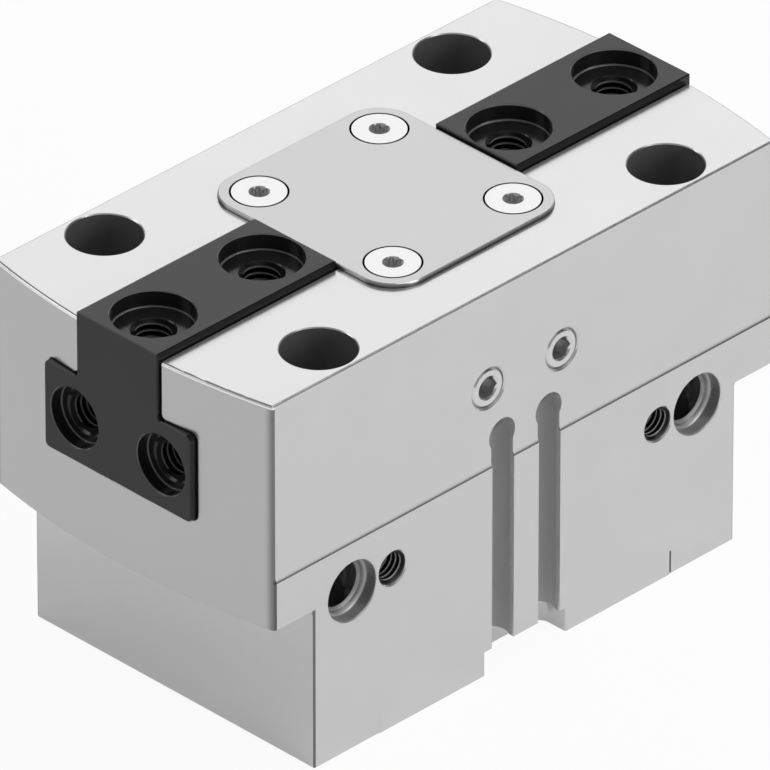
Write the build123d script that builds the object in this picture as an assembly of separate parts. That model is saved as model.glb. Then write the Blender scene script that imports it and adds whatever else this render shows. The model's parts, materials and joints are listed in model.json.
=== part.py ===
from build123d import *
import math
import os

os.makedirs("parts", exist_ok=True)

# Parallel gripper. X is the jaw travel, Y runs front to back with the ports at -Y, Z is up.
# The underside is z = 0. All lengths are in millimetres. The jaws are drawn closed.

# Outside of the housing
BODY_WIDTH = 52.5
END_APEX = 49.7
END_ARC_RADIUS = 125.0
UPPER_BOTTOM = 24.95
LOWER_HALF_LENGTH = 39.65
UNDERCUT_RADIUS = 1.2
CORNER_RADIUS = 0.75
FACE_RELIEF = 0.25
RELIEF_BOTTOM = 31.476
RELIEF_ROOT_RADIUS = 1.6
TOP_EDGE_RADIUS = 0.4
SMALL_EDGE_RADIUS = 0.3

# Jaws and the T-shaped guide that they slide in
JAW_STROKE = 8.0
JAW_PROUD = 1.2
JAW_OUTER_END = 49.9
STEM_WIDTH = 15.15
LIP_HEIGHT = 8.85
FLANGE_HEIGHT = 13.4
GUIDE_WALL = 0.89
FLANGE_CORNER = 0.85
GUIDE_CORNER = 1.0
GUIDE_LIP_RADIUS = 0.9
JAW_ROOT_RADIUS = 0.5
GUIDE_RIM = 0.25
GUIDE_CLEARANCE = 0.04
SIDE_CLEARANCE = 0.18
NOSE_COVER_GAP = 0.2
NOSE_HALF_GAP = 0.4
JAW_HOLE_INNER = 23.1
JAW_HOLE_PITCH = 20.0
JAW_SEAT_RADIUS = 5.8
JAW_SEAT_DEPTH = 2.5
END_SEAT_WALL = 1.15
END_SEAT_RADIUS = 4.45
END_SEAT_DEPTH = 2.0
JAW_EDGE = 0.15

# Threaded holes are plain bores at the thread's full radius, with a cone at the mouth
M6_RADIUS = 3.0
M6_MOUTH_RADIUS = 3.15
M6_WIDE_MOUTH_RADIUS = 3.35
M6_THREAD_DEPTH = 12.0
M5_RADIUS = 2.5
M5_MOUTH_RADIUS = 2.7
SEAT_EDGE = 0.15
SEAT_ROOT_RADIUS = 0.2
M8_RADIUS = 4.0
M8_MOUTH_RADIUS = 4.15

# Mounting holes of the housing
MOUNT_PITCH_X = 65.0
MOUNT_FACE_DISTANCE = 6.25
MOUNT_HEAD_RADIUS = 5.23
MOUNT_HEAD_FLOOR = 31.0
MOUNT_BORE_RADIUS = 3.35
MOUNT_BORE_CHAMFER = 0.7
MOUNT_HEAD_CHAMFER = 0.15
SIDE_SEAT_RADIUS = 4.45
SIDE_SEAT_DEPTH = 2.0
SIDE_THREAD_DEPTH = 12.0
SIDE_HOLE_HEIGHT = 24.7
PORT_HALF_PITCH = 25.0
PORT_DEPTH = 6.0
PORT_LIFT = 0.15
AIRWAY_RADIUS = 1.1
LOW_AIRWAY_ANGLE = 225.0
HIGH_AIRWAY_ANGLE = -25.0

# Purge air holes, each closed with a set screw
PURGE_HALF_PITCH = 6.9
PURGE_DROP = 6.1
SET_SCREW_LENGTH = 6.0
SET_SCREW_INSET = 0.1
SET_SCREW_CHAMFER = 0.43
SET_SCREW_HEX = 3.0
SET_SCREW_MOUTH_RADIUS = 1.8
PURGE_MOUTH_RADIUS = 3.24
PURGE_BORE_RADIUS = 1.5

# Sensor grooves in the front face
GROOVE_CENTRE = 4.37
GROOVE_RADIUS = 2.45
GROOVE_MOUTH = 4.1
GROOVE_DEPTH_CENTRE = 2.15
GROOVE_TOP = 36.4

# Cover plate and its countersunk screws
COVER_LENGTH = 33.5
COVER_DEPTH = 36.0
COVER_CORNER = 5.5
COVER_THICKNESS = 2.5
COVER_PROUD = 0.65
COVER_EDGE = 0.2
COVER_CLEARANCE = 0.06
COVER_JAW_GAP = 0.2
COVER_SCREW_INSET = 5.5
M4_RADIUS = 2.0
M4_HOLE_RADIUS = 2.2
M4_HEAD_RADIUS = 3.74
M4_SINK_RADIUS = 4.04
M4_HEAD_HEIGHT = 2.2
M4_HEAD_RIM = 0.3
M4_POINT = 0.5
SINK_CLEARANCE = 0.05
SINK_FLOOR_GAP = 0.1
COVER_SCREW_LENGTH = 8.0
LOBE_SOCKET_RADIUS = 1.4
LOBE_RADIUS = 0.39
LOBE_CORE_RADIUS = 1.09
LOBE_COUNT = 6
LOBE_TURN = -5.0
LOBE_MOUTH_RADIUS = 1.45
SOCKET_DEPTH = 1.3

# Drive: the piston lifts a wedge, which pushes the jaws apart
WEDGE_SLOPE = 0.625
WEDGE_HEIGHT = 10.4
WEDGE_HALF_TOP = 8.3
WEDGE_CORE_WIDTH = 13.2
WEDGE_THREAD_ROOF = 2.0
THREAD_RUNOUT = 0.5
RAIL_NECK_WIDTH = 6.4
RAIL_NECK = 2.0
RAIL_HEAD_WIDTH = 11.2
RAIL_HEAD = 2.2
WEDGE_CLEARANCE = 0.08
POCKET_DEPTH = 3.75
POCKET_CLEARANCE = 0.4
WEDGE_FLOOR_GAP = 0.2
ROD_RADIUS = 6.0
ROD_BORE_RADIUS = 3.2

# Cylinder
BORE_RADIUS = 18.0
PISTON_HEIGHT = 7.0
PISTON_RADIUS = 17.8
RUN_CLEARANCE = 0.03
PISTON_END_GAP = 0.1
BUMPER_INNER = 10.0
LOWER_BUMPER_OUTER = 15.0
UPPER_BUMPER_OUTER = 16.0
BUMPER_PROUD = 0.3
BUMPER_SEAT = 0.4
UPPER_BUMPER_HEIGHT = 0.75
TOP_GAP = 0.2

# Bush and seal round the rod
BUSH_RADIUS = 7.5
BUSH_HEIGHT = 3.0
ROD_SEAL_HEIGHT = 2.3
SEAL_POCKET_RADIUS = 9.0
RETAINER_HEIGHT = 0.8
RETAINER_INSET = 0.05
RETAINER_ROD_GAP = 0.4

# Piston rings, from the bottom of the piston up
PISTON_LAND = 1.0
SEAL_GROOVE_HEIGHT = 2.0
SEAL_GROOVE_RADIUS = 15.0
RING_SIDE_GAP = 0.05
MAGNET_FLOOR = 3.8
MAGNET_HEIGHT = 2.1
MAGNET_INNER = 13.4
MAGNET_OUTER = 17.3
KEEPER_RADIUS = 17.6
SCREW_HEAD_RADIUS = 5.0
SCREW_HEAD_HEIGHT = 3.4
SCREW_HEAD_INSET = 0.2
SCREW_HEAD_CLEARANCE = 0.3
SCREW_HEX = 4.0

# End cap
CAP_THICKNESS = 3.75
CAP_HALF_LENGTH = 27.7
CAP_JOINT = 0.08
CAP_FACE_RELIEF = 0.05
SPIGOT_HEIGHT = 2.55
SPIGOT_CLEARANCE = 0.05
CAP_SEAL_CORD = 1.48
CAP_SEAL_GROOVE_DEPTH = 1.5
CAP_SEAL_GROOVE_HEIGHT = 1.6
CAP_SEAL_GROOVE_LIFT = 0.35
CAP_SCREW_X = 21.5
CAP_SCREW_LENGTH = 12.0
CAP_SCREW_INSET = 0.1
CAP_SCREW_HEX = 2.5
NOTCH_HALF_WIDTH = 7.6
NOTCH_DEPTH = 5.05
NOTCH_CORNER = 1.9

# Worked out from the sizes above, in X and Y
HALF_WIDTH = BODY_WIDTH / 2
FRONT = -HALF_WIDTH
RELIEF_FACE = HALF_WIDTH - FACE_RELIEF
MOUNT_X = MOUNT_PITCH_X / 2
MOUNT_Y = HALF_WIDTH - MOUNT_FACE_DISTANCE
CAP_SCREW_Y = MOUNT_Y
COVER_SCREW_X = COVER_LENGTH / 2 - COVER_SCREW_INSET
COVER_SCREW_Y = COVER_DEPTH / 2 - COVER_SCREW_INSET
JAW_INNER_END = COVER_LENGTH / 2 + COVER_JAW_GAP
STEM_HALF = STEM_WIDTH / 2
WING_HALF = MOUNT_Y - MOUNT_HEAD_RADIUS - GUIDE_WALL - SIDE_CLEARANCE
END_HOLE_Y = WING_HALF - END_SEAT_WALL - END_SEAT_RADIUS
SPIGOT_RADIUS = BORE_RADIUS - SPIGOT_CLEARANCE
RING_OUTER = BORE_RADIUS - RUN_CLEARANCE
ROD_GUIDE_RADIUS = ROD_RADIUS + RUN_CLEARANCE

# Worked out in Z, from the end cap up to the cover
PISTON_STROKE = JAW_STROKE / WEDGE_SLOPE
SPIGOT_TOP = CAP_THICKNESS + SPIGOT_HEIGHT
PISTON_BOTTOM = SPIGOT_TOP + BUMPER_PROUD + PISTON_END_GAP
PISTON_TOP = PISTON_BOTTOM + PISTON_HEIGHT
BORE_TOP = PISTON_TOP + PISTON_STROKE + TOP_GAP + UPPER_BUMPER_HEIGHT
RETAINER_BOTTOM = BORE_TOP + RETAINER_INSET
SEAL_BOTTOM = RETAINER_BOTTOM + RETAINER_HEIGHT
BUSH_BOTTOM = SEAL_BOTTOM + ROD_SEAL_HEIGHT
POCKET_FLOOR = BUSH_BOTTOM + BUSH_HEIGHT
WEDGE_BOTTOM = POCKET_FLOOR + WEDGE_FLOOR_GAP
WEDGE_TOP = WEDGE_BOTTOM + WEDGE_HEIGHT
FLANGE_BOTTOM = POCKET_FLOOR + POCKET_DEPTH
FLANGE_TOP = FLANGE_BOTTOM + FLANGE_HEIGHT
END_HOLE_HEIGHT = (FLANGE_TOP + FLANGE_BOTTOM) / 2
PURGE_HEIGHT = FLANGE_TOP - PURGE_DROP
PORT_HEIGHT = SIDE_HOLE_HEIGHT + PORT_LIFT
HOUSING_HEIGHT = FLANGE_TOP + LIP_HEIGHT
JAW_TOP = HOUSING_HEIGHT + JAW_PROUD
COVER_TOP = HOUSING_HEIGHT + COVER_PROUD
COVER_BOTTOM = COVER_TOP - COVER_THICKNESS
NOSE_TOP = COVER_BOTTOM - NOSE_COVER_GAP
FAR = 100.0


def box(x0, x1, y0, y1, z0, z1):
    centre = ((x0 + x1) / 2, (y0 + y1) / 2, (z0 + z1) / 2)
    return Pos(*centre) * Box(x1 - x0, y1 - y0, z1 - z0)


def rod_z(radius, z0, z1, x=0.0, y=0.0):
    return Pos(x, y, (z0 + z1) / 2) * Cylinder(radius, z1 - z0)


def rod_y(radius, y0, y1, x, z):
    return Pos(x, (y0 + y1) / 2, z) * Rot(90, 0, 0) * Cylinder(radius, y1 - y0)


def rod_x(radius, x0, x1, y, z):
    return Pos((x0 + x1) / 2, y, z) * Rot(0, 90, 0) * Cylinder(radius, x1 - x0)


def cone_z(low_radius, high_radius, z0, z1, x=0.0, y=0.0):
    return Pos(x, y, (z0 + z1) / 2) * Cone(low_radius, high_radius, z1 - z0)


def cone_from_front(outer, inner, y, x, z):
    """A 45 degree mouth that opens towards -Y at y and narrows going in."""
    depth = outer - inner
    return Pos(x, y + depth / 2, z) * Rot(90, 0, 0) * Cone(inner, outer, depth)


def cone_from_end(outer, inner, x, y, z):
    """A 45 degree mouth that opens towards +X at x and narrows going in."""
    depth = outer - inner
    return Pos(x - depth / 2, y, z) * Rot(0, 90, 0) * Cone(inner, outer, depth)


def seat(radius, depth):
    """A round seat that opens upwards at z = 0, broken at the rim and rounded at the floor."""
    hole = rod_z(radius, -depth, 1)
    hole = fillet(hole.edges().group_by(Axis.Z)[0], SEAT_ROOT_RADIUS)
    return hole + cone_z(radius, radius + SEAT_EDGE, -SEAT_EDGE, 0)


def ring_z(outer, inner, z0, z1):
    return rod_z(outer, z0, z1) - rod_z(inner, z0, z1)


def hexagon_z(across_flats, z0, z1, x=0.0, y=0.0):
    outline = RegularPolygon(across_flats / 2, 6, major_radius=False)
    return extrude(Pos(x, y, z0) * outline, amount=z1 - z0)


def slab_xz(points, half_width):
    """A polygon drawn in X and Z, as thick as twice half_width about y = 0."""
    face = make_face(Polyline(*[(x, 0, z) for x, z in points], close=True))
    return extrude(face, amount=half_width, dir=(0, 1, 0), both=True)


def mirrored(shape):
    """The same shape on the other side of the plane x = 0."""
    return mirror(shape, about=Plane.YZ)


def aimed_bore(radius, start, end):
    """A round bore from one point to another."""
    along = Vector(*end) - Vector(*start)
    plane = Plane(origin=start, z_dir=along)
    return plane * Pos(0, 0, along.length / 2) * Cylinder(radius, along.length)


def corners(x, y):
    """The four places at plus and minus x and y."""
    return [(sx * x, sy * y) for sx in (-1, 1) for sy in (-1, 1)]


def edges_at(shape, along, test):
    return [edge for edge in shape.edges().filter_by(along) if test(edge.center())]


def near(a, b):
    return abs(a - b) < 0.01


def save(shape, node):
    export_step(shape, f"parts/{node}.step")


# Outside of the housing: a wide upper body with curved ends on a shorter lower block
def housing_outside():
    upper = box(-FAR, FAR, FRONT, HALF_WIDTH, UPPER_BOTTOM, HOUSING_HEIGHT)
    reach = END_ARC_RADIUS - END_APEX
    for side in (-1, 1):
        upper = upper & rod_z(END_ARC_RADIUS, 0, FAR, x=side * reach)
    upper = fillet(upper.edges().filter_by(Axis.Z), CORNER_RADIUS)
    # The upper part of the front and the back lies a little deeper, down to a hollow fillet
    relief = box(-FAR, FAR, -FAR, -RELIEF_FACE, RELIEF_BOTTOM, FAR)
    root = edges_at(relief, Axis.X, lambda c: near(c.Y, -RELIEF_FACE) and near(c.Z, RELIEF_BOTTOM))
    relief = fillet(root, RELIEF_ROOT_RADIUS)
    upper = upper - relief - mirror(relief, about=Plane.XZ)
    upper = fillet(upper.edges().group_by(Axis.Z)[-1], TOP_EDGE_RADIUS)
    lower = box(-LOWER_HALF_LENGTH, LOWER_HALF_LENGTH, FRONT, HALF_WIDTH, 0, UPPER_BOTTOM + 1)
    lower = fillet(lower.edges().filter_by(Axis.Z), SMALL_EDGE_RADIUS)
    lower = fillet(lower.edges().group_by(Axis.Z)[0], SMALL_EDGE_RADIUS)
    whole = upper + lower
    # A hollow fillet where each overhang meets the end of the lower block
    inner = LOWER_HALF_LENGTH
    outer = LOWER_HALF_LENGTH + UNDERCUT_RADIUS
    low = UPPER_BOTTOM - UNDERCUT_RADIUS
    depth = HALF_WIDTH - SMALL_EDGE_RADIUS
    web = box(inner, outer, -depth, depth, low, UPPER_BOTTOM) - rod_y(UNDERCUT_RADIUS, -FAR, FAR, outer, low)
    return whole + web + mirrored(web)


# The T-shaped guide, open at both ends and at the top
def guide_cut():
    stem_half = STEM_HALF + SIDE_CLEARANCE
    wing_half = WING_HALF + SIDE_CLEARANCE
    floor = FLANGE_BOTTOM - GUIDE_CLEARANCE
    ceiling = FLANGE_TOP + GUIDE_CLEARANCE
    wings = box(-FAR, FAR, -wing_half, wing_half, floor, ceiling)
    wings = fillet(wings.edges().filter_by(Axis.X), GUIDE_CORNER)
    middle = (floor + ceiling) / 2
    cut = wings + box(-FAR, FAR, -stem_half, stem_half, middle, FAR)
    roots = edges_at(cut, Axis.X, lambda c: near(c.Z, ceiling) and near(abs(c.Y), stem_half))
    return fillet(roots, GUIDE_LIP_RADIUS)


def cut_mounting_holes(body):
    for x, y in corners(MOUNT_X, MOUNT_Y):
        body = body - rod_z(MOUNT_HEAD_RADIUS, MOUNT_HEAD_FLOOR, FAR, x, y)
        body = body - rod_z(MOUNT_BORE_RADIUS, -1, MOUNT_HEAD_FLOOR + 1, x, y)
        body = body - cone_z(MOUNT_HEAD_RADIUS, MOUNT_HEAD_RADIUS + MOUNT_HEAD_CHAMFER,
                             HOUSING_HEIGHT - MOUNT_HEAD_CHAMFER, HOUSING_HEIGHT, x, y)
        body = body - cone_z(MOUNT_BORE_RADIUS + MOUNT_BORE_CHAMFER, MOUNT_BORE_RADIUS,
                             0, MOUNT_BORE_CHAMFER, x, y)
    return body


def cut_front_holes(body):
    seat_floor = FRONT + SIDE_SEAT_DEPTH
    for side in (-1, 1):
        x = side * MOUNT_X
        body = body - Pos(x, FRONT, SIDE_HOLE_HEIGHT) * Rot(90, 0, 0) * seat(SIDE_SEAT_RADIUS, SIDE_SEAT_DEPTH)
        body = body - rod_y(M8_RADIUS, FRONT, seat_floor + SIDE_THREAD_DEPTH, x, SIDE_HOLE_HEIGHT)
        body = body - cone_from_front(M8_MOUTH_RADIUS, M8_RADIUS, seat_floor, x, SIDE_HOLE_HEIGHT)
        x = side * PORT_HALF_PITCH
        body = body - rod_y(M5_RADIUS, FRONT - 1, FRONT + PORT_DEPTH, x, PORT_HEIGHT)
        body = body - cone_from_front(M5_MOUTH_RADIUS, M5_RADIUS, FRONT, x, PORT_HEIGHT)
        x = side * PURGE_HALF_PITCH
        screw_end = -RELIEF_FACE + SET_SCREW_INSET + SET_SCREW_LENGTH
        body = body - rod_y(M6_RADIUS, FRONT - 1, screw_end, x, PURGE_HEIGHT)
        body = body - rod_y(PURGE_BORE_RADIUS, FRONT, -WING_HALF + 1, x, PURGE_HEIGHT)
        body = body - cone_from_front(PURGE_MOUTH_RADIUS, M6_RADIUS, -RELIEF_FACE, x, PURGE_HEIGHT)
    return body


# Airways: one slants from its port down to the lower chamber, the other to the upper one
def cut_airways(body):
    port_floor = FRONT + PORT_DEPTH - AIRWAY_RADIUS
    inside = BORE_RADIUS - AIRWAY_RADIUS
    low_angle = math.radians(LOW_AIRWAY_ANGLE)
    low_end = (inside * math.cos(low_angle), inside * math.sin(low_angle), SPIGOT_TOP + AIRWAY_RADIUS)
    high_angle = math.radians(HIGH_AIRWAY_ANGLE)
    high_end = (inside * math.cos(high_angle), inside * math.sin(high_angle), BORE_TOP - 2 * AIRWAY_RADIUS)
    body = body - aimed_bore(AIRWAY_RADIUS, (-PORT_HALF_PITCH, port_floor, PORT_HEIGHT), low_end)
    return body - aimed_bore(AIRWAY_RADIUS, (PORT_HALF_PITCH, port_floor, PORT_HEIGHT), high_end)


def cut_sensor_grooves(body):
    y = FRONT + GROOVE_DEPTH_CENTRE
    low = CAP_THICKNESS - 1
    half_mouth = GROOVE_MOUTH / 2
    for side in (-1, 1):
        x = side * GROOVE_CENTRE
        body = body - rod_z(GROOVE_RADIUS, low, GROOVE_TOP, x, y)
        body = body - box(x - half_mouth, x + half_mouth, FRONT - 1, y, low, GROOVE_TOP)
        body = body - rod_y(GROOVE_RADIUS, FRONT - 1, y + GROOVE_RADIUS, x, GROOVE_TOP)
    return body


def make_housing():
    body = housing_outside() - guide_cut()
    # Every edge where the guide comes out at the top and at the ends
    lips = [e for e in body.edges() if abs(e.center().Y) < WING_HALF + SIDE_CLEARANCE + 0.1
            and (abs(e.center().X) > LOWER_HALF_LENGTH + END_SEAT_RADIUS or near(e.center().Z, HOUSING_HEIGHT))
            and e.center().Z > RELIEF_BOTTOM + RELIEF_ROOT_RADIUS]
    body = fillet(lips, GUIDE_RIM)
    half_x = COVER_LENGTH / 2 + COVER_CLEARANCE
    half_y = COVER_DEPTH / 2 + COVER_CLEARANCE
    recess = box(-half_x, half_x, -half_y, half_y, COVER_BOTTOM, FAR)
    body = body - fillet(recess.edges().filter_by(Axis.Z), COVER_CORNER + COVER_CLEARANCE)
    # Pocket under the guide for the wedge, the rod's wall and the cylinder bore
    wedge_reach = wedge_face(WEDGE_BOTTOM) + RAIL_NECK + RAIL_HEAD + POCKET_CLEARANCE
    wedge_side = WEDGE_CORE_WIDTH / 2 + POCKET_CLEARANCE
    body = body - box(-wedge_reach, wedge_reach, -wedge_side, wedge_side, POCKET_FLOOR, FLANGE_BOTTOM)
    body = body - rod_z(BUSH_RADIUS, BUSH_BOTTOM, POCKET_FLOOR)
    body = body - rod_z(SEAL_POCKET_RADIUS, BORE_TOP, BUSH_BOTTOM)
    body = body - rod_z(BORE_RADIUS, -1, BORE_TOP)
    # Seat across the underside for the end cap
    body = body - box(-CAP_HALF_LENGTH, CAP_HALF_LENGTH, FRONT - 1, HALF_WIDTH + 1, -1, CAP_THICKNESS)
    body = cut_mounting_holes(body)
    body = cut_front_holes(body)
    body = cut_airways(body)
    body = cut_sensor_grooves(body)
    for x, y in corners(COVER_SCREW_X, COVER_SCREW_Y):
        body = body - rod_z(M4_RADIUS, COVER_TOP - COVER_SCREW_LENGTH - THREAD_RUNOUT, COVER_TOP, x, y)
    for x, y in corners(CAP_SCREW_X, CAP_SCREW_Y):
        body = body - rod_z(M4_RADIUS, 0, CAP_SCREW_LENGTH + THREAD_RUNOUT, x, y)
    return body


def countersunk_screw(length):
    """A countersunk screw along Z with its head at the top, flush with z = 0."""
    shape = rod_z(M4_HEAD_RADIUS, -M4_HEAD_RIM, 0)
    shape = shape + cone_z(M4_RADIUS, M4_HEAD_RADIUS, -M4_HEAD_HEIGHT, -M4_HEAD_RIM)
    shape = shape + rod_z(M4_RADIUS, -length + M4_POINT, -M4_HEAD_HEIGHT)
    return shape + cone_z(M4_RADIUS - M4_POINT, M4_RADIUS, -length, -length + M4_POINT)


def countersink():
    """The hole for such a screw, with its mouth at z = 0."""
    wall = M4_HEAD_RIM + SINK_CLEARANCE
    shape = rod_z(M4_SINK_RADIUS, -wall, 1)
    shape = shape + cone_z(M4_HOLE_RADIUS, M4_SINK_RADIUS, -M4_HEAD_HEIGHT - SINK_FLOOR_GAP, -wall)
    return shape + rod_z(M4_HOLE_RADIUS, -FAR, -M4_HEAD_HEIGHT)


def lobe_socket():
    """A six-lobed drive socket with its mouth at z = 0."""
    reach = LOBE_SOCKET_RADIUS - LOBE_RADIUS
    shape = rod_z(LOBE_CORE_RADIUS, -SOCKET_DEPTH, 1)
    for k in range(LOBE_COUNT):
        angle = math.radians(360 * k / LOBE_COUNT + LOBE_TURN)
        shape = shape + rod_z(LOBE_RADIUS, -SOCKET_DEPTH, 1, reach * math.cos(angle), reach * math.sin(angle))
    mouth_depth = LOBE_MOUTH_RADIUS - LOBE_CORE_RADIUS
    return shape + cone_z(LOBE_CORE_RADIUS, LOBE_MOUTH_RADIUS, -mouth_depth, 0)


def make_cover():
    half_x = COVER_LENGTH / 2
    half_y = COVER_DEPTH / 2
    plate = box(-half_x, half_x, -half_y, half_y, COVER_BOTTOM, COVER_TOP)
    plate = fillet(plate.edges().filter_by(Axis.Z), COVER_CORNER)
    plate = fillet(plate.edges().group_by(Axis.Z)[-1], COVER_EDGE)
    for x, y in corners(COVER_SCREW_X, COVER_SCREW_Y):
        plate = plate - Pos(x, y, COVER_TOP) * countersink()
    return plate


def make_cover_screws():
    screw = countersunk_screw(COVER_SCREW_LENGTH) - lobe_socket()
    places = corners(COVER_SCREW_X, COVER_SCREW_Y)
    return Compound(children=[Pos(x, y, COVER_TOP) * screw for x, y in places])


def make_purge_screws():
    screw = rod_z(M6_RADIUS, -SET_SCREW_LENGTH, 0)
    screw = chamfer(screw.edges().group_by(Axis.Z)[-1], SET_SCREW_CHAMFER)
    screw = screw - hexagon_z(SET_SCREW_HEX, -SET_SCREW_LENGTH / 2, 1)
    mouth_depth = SET_SCREW_MOUTH_RADIUS - SET_SCREW_HEX / 2
    screw = screw - cone_z(SET_SCREW_HEX / 2, SET_SCREW_MOUTH_RADIUS, -mouth_depth, 0)
    face = -RELIEF_FACE + SET_SCREW_INSET
    places = [(side * PURGE_HALF_PITCH, face, PURGE_HEIGHT) for side in (-1, 1)]
    return Compound(children=[Pos(*place) * Rot(90, 0, 0) * screw for place in places])


def wedge_face(z):
    """Half-length of the wedge's core at height z with the jaws closed."""
    return WEDGE_HALF_TOP - WEDGE_SLOPE * (z - WEDGE_TOP)


def sloped_bar(near_offset, far_offset, z0, z1, half_width):
    """A bar that follows the slope, between two offsets outwards from the wedge's face."""
    return slab_xz([(wedge_face(z0) + near_offset, z0), (wedge_face(z0) + far_offset, z0),
                    (wedge_face(z1) + far_offset, z1), (wedge_face(z1) + near_offset, z1)], half_width)


# A jaw: a T-shaped slide with a nose under the cover that rides on the wedge's rail
def make_jaw():
    stem = box(JAW_INNER_END, JAW_OUTER_END, -STEM_HALF, STEM_HALF, FLANGE_BOTTOM, JAW_TOP)
    wings = box(0, JAW_OUTER_END, -WING_HALF, WING_HALF, FLANGE_BOTTOM, FLANGE_TOP)
    wings = fillet(wings.edges().filter_by(Axis.X), FLANGE_CORNER)
    nose = box(0, JAW_INNER_END, -STEM_HALF, STEM_HALF, FLANGE_BOTTOM, NOSE_TOP)
    jaw = stem + wings + nose
    roots = edges_at(jaw, Axis.X, lambda c: near(c.Z, FLANGE_TOP) and near(abs(c.Y), STEM_HALF))
    jaw = fillet(roots, JAW_ROOT_RADIUS)
    z0 = FLANGE_BOTTOM - 1
    z1 = JAW_TOP + 1
    jaw = jaw & sloped_bar(WEDGE_CLEARANCE, FAR, z0, z1, FAR)
    jaw = jaw & box(NOSE_HALF_GAP, FAR, -FAR, FAR, z0, FAR)
    neck_end = RAIL_NECK + WEDGE_CLEARANCE
    head_end = RAIL_NECK + RAIL_HEAD + WEDGE_CLEARANCE
    head_start = RAIL_NECK - WEDGE_CLEARANCE
    jaw = jaw - sloped_bar(-FAR, neck_end, z0, z1, RAIL_NECK_WIDTH / 2 + WEDGE_CLEARANCE)
    jaw = jaw - sloped_bar(head_start, head_end, z0, z1, RAIL_HEAD_WIDTH / 2 + WEDGE_CLEARANCE)
    outer_rim = [e for e in jaw.edges() if near(e.center().X, JAW_OUTER_END)]
    top_rim = [e for e in jaw.edges() if near(e.center().Z, JAW_TOP) and not near(e.center().X, JAW_OUTER_END)]
    jaw = chamfer(outer_rim + top_rim, JAW_EDGE)
    for x in (JAW_HOLE_INNER, JAW_HOLE_INNER + JAW_HOLE_PITCH):
        floor = JAW_TOP - JAW_SEAT_DEPTH
        jaw = jaw - Pos(x, 0, JAW_TOP) * seat(JAW_SEAT_RADIUS, JAW_SEAT_DEPTH)
        jaw = jaw - rod_z(M6_RADIUS, floor - M6_THREAD_DEPTH, floor, x)
        mouth_depth = M6_MOUTH_RADIUS - M6_RADIUS
        jaw = jaw - cone_z(M6_RADIUS, M6_MOUTH_RADIUS, floor - mouth_depth, floor, x)
    for y in (-END_HOLE_Y, END_HOLE_Y):
        z = END_HOLE_HEIGHT
        floor = JAW_OUTER_END - END_SEAT_DEPTH
        jaw = jaw - Pos(JAW_OUTER_END, y, z) * Rot(0, 90, 0) * seat(END_SEAT_RADIUS, END_SEAT_DEPTH)
        jaw = jaw - rod_x(M6_RADIUS, floor - M6_THREAD_DEPTH, floor, y, z)
        jaw = jaw - cone_from_end(M6_WIDE_MOUTH_RADIUS, M6_RADIUS, floor, y, z)
    return jaw


# The wedge, its rod and the screw that holds them to the piston
def make_wedge():
    half_core = WEDGE_CORE_WIDTH / 2
    half_neck = RAIL_NECK_WIDTH / 2
    half_head = RAIL_HEAD_WIDTH / 2
    z0 = WEDGE_BOTTOM
    z1 = WEDGE_TOP
    core = slab_xz([(-wedge_face(z0), z0), (wedge_face(z0), z0), (wedge_face(z1), z1), (-wedge_face(z1), z1)],
                   half_core)
    rail = sloped_bar(-1, RAIL_NECK, z0, z1, half_neck)
    rail = rail + sloped_bar(RAIL_NECK, RAIL_NECK + RAIL_HEAD, z0, z1, half_head)
    return core + rail + mirrored(rail) - rod_z(M6_RADIUS, z0, z1 - WEDGE_THREAD_ROOF + THREAD_RUNOUT)


def make_piston():
    z = PISTON_BOTTOM
    body = rod_z(PISTON_RADIUS, z, z + MAGNET_FLOOR) + rod_z(MAGNET_INNER, z, z + MAGNET_FLOOR + MAGNET_HEIGHT)
    groove = z + PISTON_LAND
    body = body - ring_z(FAR, SEAL_GROOVE_RADIUS, groove, groove + SEAL_GROOVE_HEIGHT)
    body = body - rod_z(SCREW_HEAD_RADIUS + SCREW_HEAD_CLEARANCE, z, z + SCREW_HEAD_INSET + SCREW_HEAD_HEIGHT)
    return body - rod_z(ROD_BORE_RADIUS, z, PISTON_TOP)


def make_piston_screw():
    low = PISTON_BOTTOM + SCREW_HEAD_INSET
    seat = low + SCREW_HEAD_HEIGHT
    head = rod_z(SCREW_HEAD_RADIUS, low, seat)
    head = chamfer(head.edges().group_by(Axis.Z)[0], SMALL_EDGE_RADIUS)
    shank = rod_z(M6_RADIUS, seat, WEDGE_TOP - WEDGE_THREAD_ROOF)
    return head + shank - hexagon_z(SCREW_HEX, low, low + SCREW_HEAD_HEIGHT / 2)


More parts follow.
